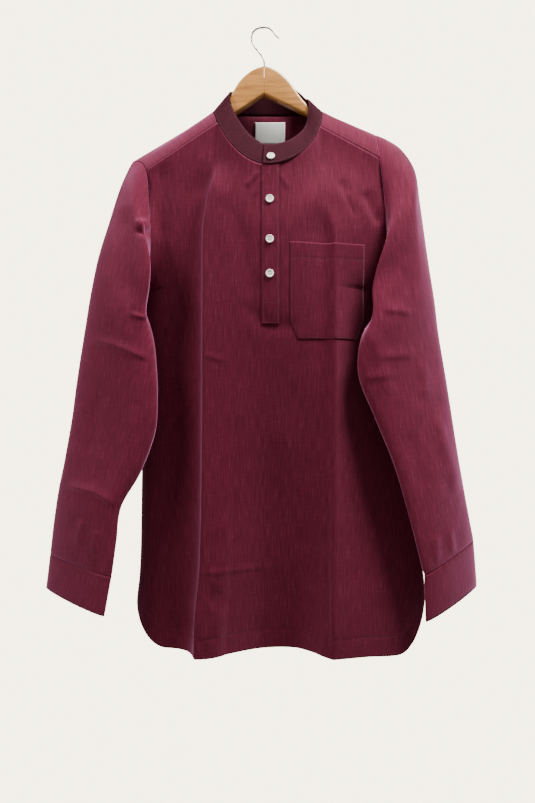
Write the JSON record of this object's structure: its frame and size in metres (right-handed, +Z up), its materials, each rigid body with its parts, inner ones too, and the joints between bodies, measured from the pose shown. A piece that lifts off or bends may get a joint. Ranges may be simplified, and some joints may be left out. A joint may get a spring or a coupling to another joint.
{
  "type": "kurta tunic on a hanger",
  "caption": "Long-sleeved band-collar kurta tunic with a half placket, chest patch pocket, buttoned cuffs and curved hem, hung flat on a wooden hanger with a wire hook.",
  "frame": {"origin": "inside of the hook's crook at its top, where the hanger bears on a rail or nail", "axes": "+Z up, the wearer's front faces -Y, the wearer's left side is at +X"},
  "size_m": [0.6497, 0.1068, 0.9338],
  "materials": {
    "cloth": "slub weave, matt",
    "label": "woven satin, blank",
    "button": "polished",
    "wood": "clear varnish",
    "wire": "zinc plated"
  },
  "bodies": {
    "root": {"front": "cloth", "back": "cloth", "yoke": "cloth", "collar": "cloth", "placket_upper": "cloth", "placket_under": "cloth", "pocket": "cloth", "sleeve_right": "cloth", "sleeve_left": "cloth", "cuff_right": "cloth", "cuff_left": "cloth", "neck_label": "label", "button_collar": "button", "button_front_1": "button", "button_front_2": "button", "button_front_3": "button", "button_cuff_right": "button", "button_cuff_left": "button", "hanger_arm_right": "wood", "hanger_arm_left": "wood", "hanger_hook": "wire"}
  },
  "joints": []
}
